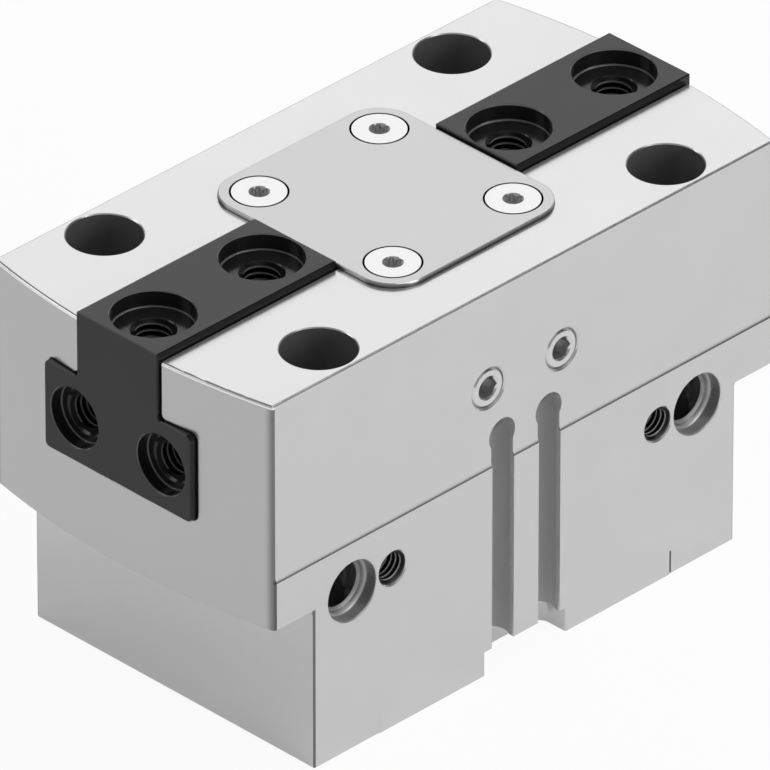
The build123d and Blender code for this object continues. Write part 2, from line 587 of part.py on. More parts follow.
# The cylinder's bottom cover with its spigot in the bore
def make_end_cap():
    x = CAP_HALF_LENGTH - CAP_JOINT
    y = HALF_WIDTH - CAP_FACE_RELIEF
    cap = box(-x, x, -y, y, 0, CAP_THICKNESS)
    cap = fillet(cap.edges().filter_by(Axis.Z), SMALL_EDGE_RADIUS)
    notch = box(-NOTCH_HALF_WIDTH, NOTCH_HALF_WIDTH, -y - FAR, FRONT + NOTCH_DEPTH, 0, CAP_THICKNESS)
    inner = edges_at(notch, Axis.Z, lambda c: c.Y > FRONT)
    cap = cap - fillet(inner, NOTCH_CORNER)
    lips = edges_at(cap, Axis.Z, lambda c: near(abs(c.X), NOTCH_HALF_WIDTH) and near(c.Y, -y))
    cap = fillet(lips, SMALL_EDGE_RADIUS)
    cap = cap + rod_z(SPIGOT_RADIUS, CAP_THICKNESS, SPIGOT_TOP)
    groove = CAP_THICKNESS + CAP_SEAL_GROOVE_LIFT
    groove_radius = BORE_RADIUS - CAP_SEAL_GROOVE_DEPTH
    cap = cap - ring_z(FAR, groove_radius, groove, groove + CAP_SEAL_GROOVE_HEIGHT)
    cap = cap - ring_z(LOWER_BUMPER_OUTER, BUMPER_INNER, SPIGOT_TOP - BUMPER_SEAT, SPIGOT_TOP)
    for px, py in corners(CAP_SCREW_X, CAP_SCREW_Y):
        cap = cap - Pos(px, py, CAP_SCREW_INSET) * Rot(180, 0, 0) * countersink()
    return cap


def make_cap_screws():
    screw = countersunk_screw(CAP_SCREW_LENGTH) - hexagon_z(CAP_SCREW_HEX, -SOCKET_DEPTH, 1)
    screw = Rot(180, 0, 0) * screw
    places = corners(CAP_SCREW_X, CAP_SCREW_Y)
    return Compound(children=[Pos(x, y, CAP_SCREW_INSET) * screw for x, y in places])


def make_cap_seal():
    minor = CAP_SEAL_CORD / 2
    major = BORE_RADIUS - CAP_SEAL_GROOVE_DEPTH + minor
    middle = CAP_THICKNESS + CAP_SEAL_GROOVE_LIFT + CAP_SEAL_GROOVE_HEIGHT / 2
    return Pos(0, 0, middle) * Torus(major, minor)


# Plain rings of the cylinder and the piston
def make_rings():
    groove = PISTON_BOTTOM + PISTON_LAND
    groove_top = groove + SEAL_GROOVE_HEIGHT
    magnet = PISTON_BOTTOM + MAGNET_FLOOR
    keeper = magnet + MAGNET_HEIGHT
    bumper = SPIGOT_TOP - BUMPER_SEAT
    gap = RING_SIDE_GAP
    retainer_inner = ROD_RADIUS + RETAINER_ROD_GAP
    return {
        "lower_bumper": ring_z(LOWER_BUMPER_OUTER, BUMPER_INNER, bumper, SPIGOT_TOP + BUMPER_PROUD),
        "upper_bumper": ring_z(UPPER_BUMPER_OUTER, BUMPER_INNER, BORE_TOP - UPPER_BUMPER_HEIGHT, BORE_TOP),
        "rod_bush": ring_z(BUSH_RADIUS, ROD_GUIDE_RADIUS, BUSH_BOTTOM, POCKET_FLOOR),
        "rod_seal": ring_z(SEAL_POCKET_RADIUS, ROD_GUIDE_RADIUS, SEAL_BOTTOM, BUSH_BOTTOM),
        "seal_retainer": ring_z(SEAL_POCKET_RADIUS, retainer_inner, RETAINER_BOTTOM, SEAL_BOTTOM),
        "piston_rod": ring_z(ROD_RADIUS, ROD_BORE_RADIUS, PISTON_TOP, WEDGE_BOTTOM),
        "piston_seal": ring_z(RING_OUTER, SEAL_GROOVE_RADIUS + gap, groove + gap, groove_top - gap),
        "piston_magnet": ring_z(MAGNET_OUTER, MAGNET_INNER, magnet, keeper),
        "piston_guide_ring": ring_z(RING_OUTER, MAGNET_OUTER + gap, magnet + gap, keeper - gap),
        "magnet_keeper": ring_z(KEEPER_RADIUS, ROD_BORE_RADIUS, keeper, PISTON_TOP),
    }


save(make_housing(), "housing")
save(make_cover(), "cover_plate")
save(make_cover_screws(), "cover_screws")
save(make_purge_screws(), "purge_screws")
save(make_end_cap(), "end_cap")
save(make_cap_screws(), "end_cap_screws")
save(make_cap_seal(), "end_cap_seal")
right_jaw = make_jaw()
save(right_jaw, "jaw_right")
save(mirrored(right_jaw), "jaw_left")
save(make_wedge(), "wedge")
save(make_piston(), "piston")
save(make_piston_screw(), "piston_screw")
for node, shape in make_rings().items():
    save(shape, node)
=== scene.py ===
import json
import math

import bpy
from mathutils import Matrix, Vector


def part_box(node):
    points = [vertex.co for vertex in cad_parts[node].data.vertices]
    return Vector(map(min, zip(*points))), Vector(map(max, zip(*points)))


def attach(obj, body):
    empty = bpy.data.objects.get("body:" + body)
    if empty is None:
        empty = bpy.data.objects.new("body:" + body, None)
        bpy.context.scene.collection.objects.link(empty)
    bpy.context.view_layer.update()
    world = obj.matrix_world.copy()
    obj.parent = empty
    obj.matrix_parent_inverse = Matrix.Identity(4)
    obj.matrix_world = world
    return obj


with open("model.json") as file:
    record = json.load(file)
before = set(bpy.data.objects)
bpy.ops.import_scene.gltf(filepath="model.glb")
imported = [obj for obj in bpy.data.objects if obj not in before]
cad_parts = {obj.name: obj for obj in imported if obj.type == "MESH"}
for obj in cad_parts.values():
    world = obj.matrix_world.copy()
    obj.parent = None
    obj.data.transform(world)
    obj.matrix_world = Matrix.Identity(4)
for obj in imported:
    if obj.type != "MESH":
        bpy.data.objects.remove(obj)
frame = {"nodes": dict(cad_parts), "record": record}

MM = 0.001

# Camera, as the photograph was taken: long lens, level, from the front left
CAMERA_AZIMUTH = math.radians(-45.03)
CAMERA_ELEVATION = math.radians(32.23)
CAMERA_DISTANCE = 2.635
CAMERA_AIM = Vector((0.27, 0.48, 30.2)) * MM
CAMERA_LENS = 925.8
SENSOR_WIDTH = 36.0
CAMERA_REACH = 20.0

# Pale floor, and a sky that dims above a white horizon and towards one direction
FLOOR_SIZE = 60.0
FLOOR_SHADE = 0.92
FLOOR_WHITE_SHARE = 0.93
FLOOR_WHITE_GLOSSY = 0.42
SKY_SHADE = 0.3
HORIZON = (0.03, 0.1)
DARK_SKY = (0.6, -0.53, 0.6)
DARK_SKY_REACH = (0.86, 0.94)
DARK_SKY_SHADE = 0.15

# Threads: widths at the root and the crest, depth, and start below the mouth, as shares of the pitch
THREAD_ROOT_SHARE = 0.86
THREAD_CREST_SHARE = 0.3
THREAD_DEPTH_SHARE = 0.54
THREAD_START_SHARE = 0.5
PORT_START_SHARE = 1.0
THREAD_STEPS = 48
TOOTH_CORNERS = 4
CREST_REACH = 0.9
M6_PITCH = 1.0 * MM
M5_PITCH = 0.8 * MM
M8_PITCH = 1.25 * MM
# How far a turn goes into the wall, and stays clear of the mouth's cone
THREAD_EMBED = 0.03 * MM
CONE_EMBED = 1.5 * THREAD_EMBED
SMOOTH_ANGLE = math.radians(32)
MERGE = 0.001 * MM

# Threaded holes: seats, mouths and turns, as far as the mounts don't say them
JAW_TOP_SEAT = 2.5 * MM
JAW_END_SEAT = 2.0 * MM
SIDE_SEAT = 2.0 * MM
JAW_TOP_MOUTH = 3.15 * MM
JAW_END_MOUTH = 3.35 * MM
PORT_MOUTH = 2.7 * MM
SIDE_MOUTH = 4.15 * MM
M6_THREAD_DEPTH = 11.0 * MM
PORT_THREAD_DEPTH = 4.8 * MM
SIDE_HOLE = 4.0 * MM
SIDE_CREST = 3.4 * MM
SIDE_LEAD = 0.75 * MM
SIDE_LEAD_STEPS = ((3.98 * MM, -0.1 * MM), (3.78 * MM, -0.43 * MM), (3.66 * MM, -0.48 * MM))
SIDE_LEAD_BACK = 0.1 * MM
SIDE_LEAD_RIM = 0.05 * MM
SIDE_LEAD_FACETS = 96
SIDE_THREAD_INNER = (7.75 * MM, 11.5 * MM)

# Colours of the finishes, and of the painted light and shade on them
HOUSING_SHADE = 0.645
HOUSING_METALLIC = 0.8
# Painted shade on the end faces
END_PAINTED_SHADE = 0.53
# Painted shade in the holes, side seats and sensor grooves
HOLE_PAINTED_SHADE = 0.44
SIDE_SEAT_PAINTED_SHADE = 0.5
GROOVE_PAINTED_SHADE = 0.5
GROOVE_METALLIC_LOSS = 0.6
# Painted dark reflection line and painted highlight band on the top edge
TOP_LINE_PAINTED_DARK_REFLECTION = 0.42
TOP_BAND_PAINTED_HIGHLIGHT = 0.98
# Painted shade above the step, at the corners and at the cover's foot
EDGE_PAINTED_SHADE = 0.02
# Painted shade in the gaps round the cover's screw heads
SCREW_GAP_PAINTED_SHADE = 0.01
COVER_SHADE = 0.52
JAW_SHADE = 0.013
# Painted highlight on the jaws' seat rims and floor corners
SEAT_RIM_PAINTED_HIGHLIGHT = 0.12
SCREW_SHADE = 0.69
# Painted shade in the screw sockets and below their flat faces
SOCKET_PAINTED_SHADE = 0.58

# Added to the housing's roughness
HOLE_ROUGHER = -0.1
SIDE_SEAT_ROUGHER = 0.15
GROOVE_ROUGHER = 0.45

# Places that the housing's finish needs and the record's mounts don't say
END_FACE_X = 46.95 * MM
END_ARC_RADIUS = 125.0 * MM
LOWER_HALF_LENGTH = 39.65 * MM
UPPER_BOTTOM = 24.95 * MM
FACE_RELIEF = 0.3 * MM
EDGE_BREAK = 0.15 * MM
MOUNT_HOLE_STEP = 31.0 * MM
MOUNT_SHANK_RADIUS = 3.4 * MM
MOUNT_HOLE_WIDENING = 1.9 * MM
SIDE_SEAT_RADIUS = 4.62 * MM
GROOVE_HALF = 2.5 * MM
GROOVE_DEPTH = 5.0 * MM
GROOVE_TOP = 37.0 * MM

# Edges of the housing, where light and shade are painted: the top edge, the shade above the step, and the
# upright corners
TOP_EDGE = 0.47 * MM
TOP_LINE = 0.12 * MM
TOP_FLAT = 0.01 * MM
STEP_FOOT = 32.217 * MM
STEP_HEIGHT = 0.86 * MM
STEP_START = -0.05
STEP_FADE = 3.0
STEP_SHARE = 0.85
CORNER_SHADOW = 1.65 * MM
CORNER_FADE = 1.6
CORNER_SHADOW_SHARE = 0.95
CORNER_SHADOW_MOST = 0.84
LOWER_EDGE = 0.26 * MM
LOWER_LINE_SHARE = 0.75

# Edges of the other pieces, where shade and highlights are painted, and the feed of the turned ones
COVER_HEAD_RADIUS = 3.75 * MM
COVER_HEAD_GAP = 0.3 * MM
COVER_FACE = 0.03 * MM
COVER_FOOT_TOP = 0.02 * MM
COVER_FOOT_SHARE = 0.9
JAW_SEAT_RADIUS = 5.8 * MM
END_SEAT_RADIUS = 4.45 * MM
SEAT_ROOT = 0.2 * MM
SOCKET_RIM = 0.25 * MM
TURNING_FEED = 0.25 * MM


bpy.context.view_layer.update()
mounts = {m["name"]: m for m in frame["record"]["mounts"]}


def towards_camera():
    level = math.cos(CAMERA_ELEVATION)
    return Vector((math.sin(CAMERA_AZIMUTH) * level, -math.cos(CAMERA_AZIMUTH) * level,
                   math.sin(CAMERA_ELEVATION)))


def deselect():
    bpy.ops.object.select_all(action="DESELECT")


def make_active(obj):
    deselect()
    obj.select_set(True)
    bpy.context.view_layer.objects.active = obj


# Node helpers for the materials
class Nodes:
    def __init__(self, name):
        self.material = bpy.data.materials.new(name)
        self.material.use_nodes = True
        self.tree = self.material.node_tree
        self.shader = self.tree.nodes["Principled BSDF"]
        self.coordinates = self.add("ShaderNodeTexCoord").outputs["Object"]

    def add(self, kind, **settings):
        node = self.tree.nodes.new(kind)
        for key, value in settings.items():
            setattr(node, key, value)
        return node

    def link(self, output, socket):
        self.tree.links.new(output, socket)

    def math(self, operation, a, b=None):
        node = self.add("ShaderNodeMath", operation=operation)
        for socket, value in zip(node.inputs, (a, b)):
            if value is None:
                continue
            if isinstance(value, (int, float)):
                socket.default_value = value
            else:
                self.link(value, socket)
        return node.outputs[0]

    def noise(self, size, detail, stretch=(1.0, 1.0, 1.0)):
        """Noise whose features are about size metres across."""
        mapping = self.add("ShaderNodeMapping")
        mapping.inputs["Scale"].default_value = stretch
        self.link(self.coordinates, mapping.inputs["Vector"])
        node = self.add("ShaderNodeTexNoise")
        node.inputs["Scale"].default_value = 1.0 / size
        node.inputs["Detail"].default_value = detail
        self.link(mapping.outputs[0], node.inputs["Vector"])
        return node.outputs["Fac"]

    def spread(self, factor, low, high, start=0.3, end=0.7):
        """factor between start and end becomes low to high."""
        node = self.add("ShaderNodeMapRange")
        node.inputs["From Min"].default_value = start
        node.inputs["From Max"].default_value = end
        node.inputs["To Min"].default_value = low
        node.inputs["To Max"].default_value = high
        self.link(factor, node.inputs["Value"])
        return node.outputs["Result"]

    def mix(self, factor, a, b):
        node = self.add("ShaderNodeMix", data_type="RGBA")
        self.link(factor, node.inputs["Factor"])
        colour_inputs = [socket for socket in node.inputs if socket.type == "RGBA"]
        for socket, value in zip(colour_inputs, (a, b)):
            if isinstance(value, tuple):
                socket.default_value = (*value, 1.0)
            else:
                self.link(value, socket)
        return node.outputs[2]

    def bump(self, height, distance, strength):
        node = self.add("ShaderNodeBump")
        node.inputs["Strength"].default_value = strength
        node.inputs["Distance"].default_value = distance
        self.link(height, node.inputs["Height"])
        self.link(node.outputs["Normal"], self.shader.inputs["Normal"])

    def both(self, first, *others):
        """1 where all the masks are 1."""
        for other in others:
            first = self.math("MULTIPLY", first, other)
        return first

    def either(self, first, *others):
        """1 where any of the masks is 1."""
        for other in others:
            first = self.math("MAXIMUM", first, other)
        return first

    def within(self, distance, limit):
        return self.math("LESS_THAN", distance, limit)

    def beyond(self, distance, limit):
        return self.math("GREATER_THAN", distance, limit)

    def minus(self, a, b):
        return self.math("SUBTRACT", a, b)

    def times(self, a, b):
        return self.math("MULTIPLY", a, b)

    def absolute(self, value):
        return self.math("ABSOLUTE", value)

    def reach(self, a, b):
        """Length of the vector with the parts a and b."""
        return self.math("SQRT", self.math("ADD", self.times(a, a), self.times(b, b)))

    def separate(self):
        node = self.add("ShaderNodeSeparateXYZ")
        self.link(self.coordinates, node.inputs[0])
        return node.outputs

    def set(self, **values):
        for key, value in values.items():
            self.shader.inputs[key.replace("_", " ")].default_value = value

    def colour(self, output):
        self.link(output, self.shader.inputs["Base Color"])

    def painted(self, tone, *coats):
        """tone under coats, each a mask or share and a shade."""
        for share, shade in coats:
            tone = self.mix(share, tone, grey(shade))
        return tone

    def roughness(self, output):
        self.link(output, self.shader.inputs["Roughness"])


def grey(value):
    return (value, value, value)


def shades(value, spread):
    return grey(value * (1 - spread)), grey(value * (1 + spread))


# Fine blasted and anodised aluminium
def blasted_aluminium(name, value):
    n = Nodes(name)
    cloud = n.noise(9 * MM, detail=3)
    grain = n.noise(0.12 * MM, detail=2)
    tone = n.mix(n.spread(cloud, 0.0, 1.0), *shades(value, 0.012))
    n.tone = n.mix(n.spread(grain, 0.0, 0.3), tone, grey(value * 0.95))
    n.rough = n.spread(grain, 0.2, 0.26)
    n.bump(grain, 0.001 * MM, 0.2)
    n.set(Metallic=HOUSING_METALLIC)
    return n


def housing_finish():
    """Blasted outside. Holes, seats and sensor grooves keep the roughness the cutters left, and painted
    shade darkens them. Light and shade are painted on the end faces and edges.
    """
    n = blasted_aluminium("blasted_housing", HOUSING_SHADE)
    x, y, z = n.separate()
    low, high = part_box("housing")
    wide_x, wide_y = n.absolute(x), n.absolute(y)
    bolts = mounts["body_holes"]["dims"]
    side_hole_height = mounts["side_holes"]["pos_m"][2]
    port_place = mounts["port_close"]["pos_m"]
    groove_middle = mounts["sensor_groove_right"]["pos_m"][0]

    # Holes. The side holes lie in line with the mounting holes
    bolt_x = n.minus(wide_x, bolts["spacing_x_mm"] * MM / 2)
    bolt_y = n.minus(wide_y, bolts["spacing_y_mm"] * MM / 2)
    widening = n.times(n.beyond(z, MOUNT_HOLE_STEP), MOUNT_HOLE_WIDENING)
    bolt_radius = n.math("ADD", widening, MOUNT_SHANK_RADIUS)
    in_mount = n.both(n.within(n.reach(bolt_x, bolt_y), bolt_radius), n.within(z, high.z - EDGE_BREAK))
    from_side_hole = n.reach(bolt_x, n.minus(z, side_hole_height))
    seat_floor = low.y + SIDE_SEAT + EDGE_BREAK
    in_side = n.both(n.within(from_side_hole, SIDE_MOUTH), n.beyond(y, seat_floor), n.within(y, 0.0))
    in_seat = n.both(n.within(from_side_hole, SIDE_SEAT_RADIUS), n.within(y, seat_floor),
                     n.beyond(y, low.y + EDGE_BREAK / 2))
    from_port = n.reach(n.minus(wide_x, port_place[0]), n.minus(z, port_place[2]))
    in_port = n.both(n.within(from_port, PORT_MOUTH), n.beyond(y, low.y + 3 * EDGE_BREAK), n.within(y, 0.0))
    in_groove = n.both(n.within(n.absolute(n.minus(wide_x, groove_middle)), GROOVE_HALF),
                       n.beyond(y, low.y + 2 * EDGE_BREAK), n.within(y, low.y + GROOVE_DEPTH),
                       n.within(z, GROOVE_TOP))
    bored = n.either(in_mount, in_side, in_port)

    # Top edge: a painted dark reflection line above, and a painted highlight band below it on the curved
    # ends
    depth = n.minus(high.z, z)
    arc = n.math("ADD", wide_x, n.math("DIVIDE", n.times(y, y), 2 * END_ARC_RADIUS))
    on_end = n.beyond(arc, high.x - TOP_EDGE)
    on_side = n.beyond(wide_y, high.y - FACE_RELIEF - TOP_EDGE)
    painted_top_line = n.both(n.beyond(depth, TOP_FLAT), n.within(depth, TOP_LINE), n.either(on_end, on_side))
    painted_top_highlight = n.both(n.beyond(depth, TOP_LINE), n.within(depth, TOP_EDGE), on_end)
    # Painted shade: the end faces are darker than the sides
    painted_end_shade = n.both(n.beyond(wide_x, END_FACE_X), n.within(z, high.z - 3 * EDGE_BREAK))

    # Painted shade on the rounded root above the step, darkest at its foot
    up = n.math("DIVIDE", n.minus(z, STEP_FOOT), STEP_HEIGHT)
    step_fade = n.math("POWER", n.minus(1.0, n.math("MINIMUM", up, 1.0)), STEP_FADE)
    step_shade = n.both(n.times(step_fade, STEP_SHARE), n.beyond(up, STEP_START), n.within(up, 1.0),
                        n.beyond(wide_y, high.y - FACE_RELIEF))

    # Painted shade: the ends darken towards their upright corners, and the lower block's corners are
    # painted dark lines
    to_corner = n.spread(wide_y, 0.0, 1.0, high.y - CORNER_SHADOW, high.y)
    corner_fade = n.times(n.math("POWER", to_corner, CORNER_FADE), CORNER_SHADOW_SHARE)
    corner_shade = n.both(n.math("MINIMUM", corner_fade, CORNER_SHADOW_MOST), on_end,
                          n.beyond(depth, TOP_EDGE), n.beyond(z, UPPER_BOTTOM))
    lower_corner = n.both(n.beyond(wide_y, high.y - LOWER_EDGE),
                          n.beyond(wide_x, LOWER_HALF_LENGTH - LOWER_EDGE),
                          n.within(wide_x, LOWER_HALF_LENGTH + EDGE_BREAK), n.within(z, UPPER_BOTTOM))
    painted_lower_line = n.times(lower_corner, LOWER_LINE_SHARE)

    # The blasted tone under the painted light and shade
    n.colour(n.painted(n.tone, (painted_end_shade, END_PAINTED_SHADE), (step_shade, EDGE_PAINTED_SHADE),
                       (painted_top_line, TOP_LINE_PAINTED_DARK_REFLECTION), (painted_top_highlight, TOP_BAND_PAINTED_HIGHLIGHT),
                       (corner_shade, EDGE_PAINTED_SHADE), (painted_lower_line, EDGE_PAINTED_SHADE),
                       (bored, HOLE_PAINTED_SHADE), (in_seat, SIDE_SEAT_PAINTED_SHADE), (in_groove, GROOVE_PAINTED_SHADE)))
    rough = n.rough
    for place, added in ((bored, HOLE_ROUGHER), (in_seat, SIDE_SEAT_ROUGHER), (in_groove, GROOVE_ROUGHER)):
        rough = n.math("ADD", rough, n.times(place, added))
    n.roughness(rough)
    metallic = n.minus(HOUSING_METALLIC, n.times(in_groove, GROOVE_METALLIC_LOSS))
    n.link(metallic, n.shader.inputs["Metallic"])
    return n.material


def cut_thread_finish(name, shade, roughness, metallic=0.8, specular=0.5):
    n = Nodes(name)
    grain = n.noise(0.1 * MM, detail=2)
    cloud = n.noise(1.5 * MM, detail=2)
    n.colour(n.mix(n.spread(cloud, 0.0, 1.0), *shades(shade, 0.1)))
    n.roughness(n.spread(grain, roughness, roughness + 0.06))
    n.set(Metallic=metallic, Specular_IOR_Level=specular)
    return n.material


def cover_finish():
    """Blasted plate. The countersinks behind the screw heads and the foot of its edge get painted shade."""
    n = blasted_aluminium("blasted_cover", COVER_SHADE)
    x, y, z = n.separate()
    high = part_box("cover_plate")[1]
    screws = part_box("cover_screws")[1]
    reach = n.reach(n.minus(n.absolute(x), screws.x - COVER_HEAD_RADIUS),
                    n.minus(n.absolute(y), screws.y - COVER_HEAD_RADIUS))
    in_gap = n.both(n.within(reach, COVER_HEAD_RADIUS + COVER_HEAD_GAP), n.within(z, high.z - COVER_FACE))
    foot = n.spread(z, COVER_FOOT_SHARE, 0.0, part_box("housing")[1].z, high.z - COVER_FOOT_TOP)
    n.colour(n.painted(n.tone, (foot, EDGE_PAINTED_SHADE), (in_gap, SCREW_GAP_PAINTED_SHADE)))
    n.roughness(n.rough)
    return n.material


def seat_edges(n, reach, depth, radius, seat):
    """1 on the broken rim and on the rounded floor corner of a round seat."""
    near = EDGE_BREAK / 3
    rim = n.both(n.beyond(reach, radius - near), n.within(reach, radius + EDGE_BREAK + near),
                 n.beyond(depth, near / 5), n.within(depth, EDGE_BREAK + near))
    root = n.both(n.beyond(reach, radius - SEAT_ROOT), n.within(reach, radius + near),
                  n.beyond(depth, seat - SEAT_ROOT), n.within(depth, seat + near))
    return n.either(rim, root)


def jaw_finish():
    n = Nodes("dark_coated_steel")
    cloud = n.noise(7 * MM, detail=3)
    grain = n.noise(0.15 * MM, detail=2)
    tone = n.mix(n.spread(cloud, 0.0, 1.0), *shades(JAW_SHADE, 0.1))
    x, y, z = n.separate()
    wide_x = n.absolute(x)
    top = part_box("jaw_left")[1].z
    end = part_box("jaw_right")[1].x
    on_top, in_end = mounts["jaw_right_top"], mounts["jaw_right_end"]
    from_middle = n.absolute(n.minus(wide_x, on_top["pos_m"][0]))
    along = n.minus(from_middle, on_top["dims"]["spacing_x_mm"] * MM / 2)
    across = n.minus(n.absolute(y), in_end["dims"]["spacing_x_mm"] * MM / 2)
    from_end_hole = n.reach(across, n.minus(z, in_end["pos_m"][2]))
    # Painted highlight on the seats' rims and rounded floor corners
    edges = n.either(seat_edges(n, n.reach(along, y), n.minus(top, z), JAW_SEAT_RADIUS, JAW_TOP_SEAT),
                     seat_edges(n, from_end_hole, n.minus(end, wide_x), END_SEAT_RADIUS, JAW_END_SEAT))
    n.colour(n.painted(tone, (edges, SEAT_RIM_PAINTED_HIGHLIGHT)))
    n.roughness(n.spread(grain, 0.13, 0.19))
    n.bump(grain, 0.001 * MM, 0.3)
    n.set(Metallic=0.0, Specular_IOR_Level=0.32)
    return n.material


def bright_screw_finish(name, node, face_axis):
    """Turned head. The socket, and the ring outside the flat face, get painted shade."""
    n = Nodes(name)
    turned = n.noise(0.2 * MM, detail=2)
    tone = n.mix(n.spread(turned, 0.0, 1.0), *shades(SCREW_SHADE, 0.02))
    x, y, z = n.separate()
    low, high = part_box(node)
    if face_axis == "Z":
        depth = n.minus(high.z, z)
    else:
        depth = n.minus(y, low.y)
    inside = n.spread(depth, 0.0, 1.0, 0.5 * SOCKET_RIM, SOCKET_RIM)
    n.colour(n.painted(tone, (inside, SOCKET_PAINTED_SHADE)))
    n.roughness(n.spread(turned, 0.14, 0.2))
    n.bump(turned, 0.001 * MM, 0.2)
    n.set(Metallic=0.85)
    return n.material


def mottled(name, size, detail, colours, roughness, relief, metallic=0.0, stretch=(1.0, 1.0, 1.0)):
    """Finish whose colour, roughness and relief (depth, strength) follow one noise."""
    n = Nodes(name)
    fleck = n.noise(size, detail=detail, stretch=stretch)
    n.colour(n.mix(n.spread(fleck, 0.0, 1.0), *colours))
    n.roughness(n.spread(fleck, *roughness))
    n.bump(fleck, *relief)
    n.set(Metallic=metallic)
    return n.material


def turned_aluminium_finish():
    n = Nodes("turned_aluminium")
    x, y, z = n.separate()
    rings = n.math("SINE", n.times(n.math("ADD", n.reach(x, y), z), 2 * math.pi / TURNING_FEED))
    cloud = n.noise(4 * MM, detail=2)
    n.colour(n.mix(n.spread(cloud, 0.0, 1.0), *shades(0.7, 0.03)))
    n.roughness(n.spread(cloud, 0.28, 0.38))
    n.bump(rings, 0.003 * MM, 0.3)
    n.set(Metallic=1.0)
    return n.material


def rubber_finish():
    n = Nodes("seal_rubber")
    grain = n.noise(0.1 * MM, detail=2)
    cloud = n.noise(3 * MM, detail=2)
    n.colour(n.mix(n.spread(cloud, 0.0, 1.0), *shades(0.022, 0.2)))
    n.roughness(n.spread(grain, 0.55, 0.75))
    n.bump(grain, 0.005 * MM, 0.5)
    return n.material


finishes = {
    "housing_aluminium": housing_finish(),
    "cover_aluminium": cover_finish(),
    "jaw_steel": jaw_finish(),
    "bright_screw_steel": bright_screw_finish("bright_turned_steel", "cover_screws", "Z"),
    "dark_screw_steel": mottled("black_oxide_steel", size=1.5 * MM, detail=3, colours=shades(0.03, 0.2),
                                roughness=(0.3, 0.45), relief=(0.004 * MM, 0.4), metallic=0.6),
    "wedge_steel": mottled("ground_steel", size=0.08 * MM, detail=3, colours=shades(0.45, 0.08),
                           roughness=(0.22, 0.36), relief=(0.002 * MM, 0.5), metallic=1.0,
                           stretch=(0.05, 1.0, 1.0)),
    "rod_steel": mottled("polished_rod", size=0.08 * MM, detail=2, colours=shades(0.72, 0.03),
                         roughness=(0.1, 0.2), relief=(0.001 * MM, 0.3), metallic=1.0,
                         stretch=(1.0, 1.0, 0.05)),
    "piston_aluminium": turned_aluminium_finish(),
    "seal_rubber": rubber_finish(),
    "bush_bronze": mottled("bush_bronze", size=1.2 * MM, detail=4,
                           colours=((0.42, 0.24, 0.1), (0.62, 0.4, 0.18)),
                           roughness=(0.3, 0.45), relief=(0.003 * MM, 0.4), metallic=1.0),
    "magnet": mottled("sintered_magnet", size=0.15 * MM, detail=4, colours=(grey(0.04), grey(0.1)),
                      roughness=(0.5, 0.7), relief=(0.01 * MM, 0.5), metallic=0.3),
    "guide_plastic": mottled("guide_plastic", size=0.3 * MM, detail=3,
                             colours=((0.1, 0.07, 0.04), (0.16, 0.11, 0.06)),
                             roughness=(0.45, 0.6), relief=(0.004 * MM, 0.4)),
}


def paint(obj, material):
    if not obj.material_slots:
        obj.data.materials.append(material)
    for place in obj.material_slots:
        place.material = material


slot_of = {s["node"]: s["material_slot"] for s in frame["record"]["subparts"]}
for node_name, node in frame["nodes"].items():
    paint(node, finishes[slot_of[node_name]])
paint(frame["nodes"]["purge_screws"], bright_screw_finish("set_screw_steel", "purge_screws", "Y"))
# A thread's crest gets a painted highlight, and its flanks a painted shade
crest_painted_highlight = {"housing_aluminium": cut_thread_finish("thread_crest", 0.85, 0.25, metallic=0.3),
                "jaw_steel": cut_thread_finish("jaw_thread_crest", 0.35, 0.2, metallic=0.3)}
flank_painted_shade = {"housing_aluminium": cut_thread_finish("thread_flank", 0.015, 0.3, specular=0.0),
                "jaw_steel": cut_thread_finish("jaw_thread_flank", 0.008, 0.3, specular=0.0)}
# The lead-in cone is darker than the housing, painted shade in the hole
lead_in_finish = cut_thread_finish("lead_in_cone", 0.32, 0.5)


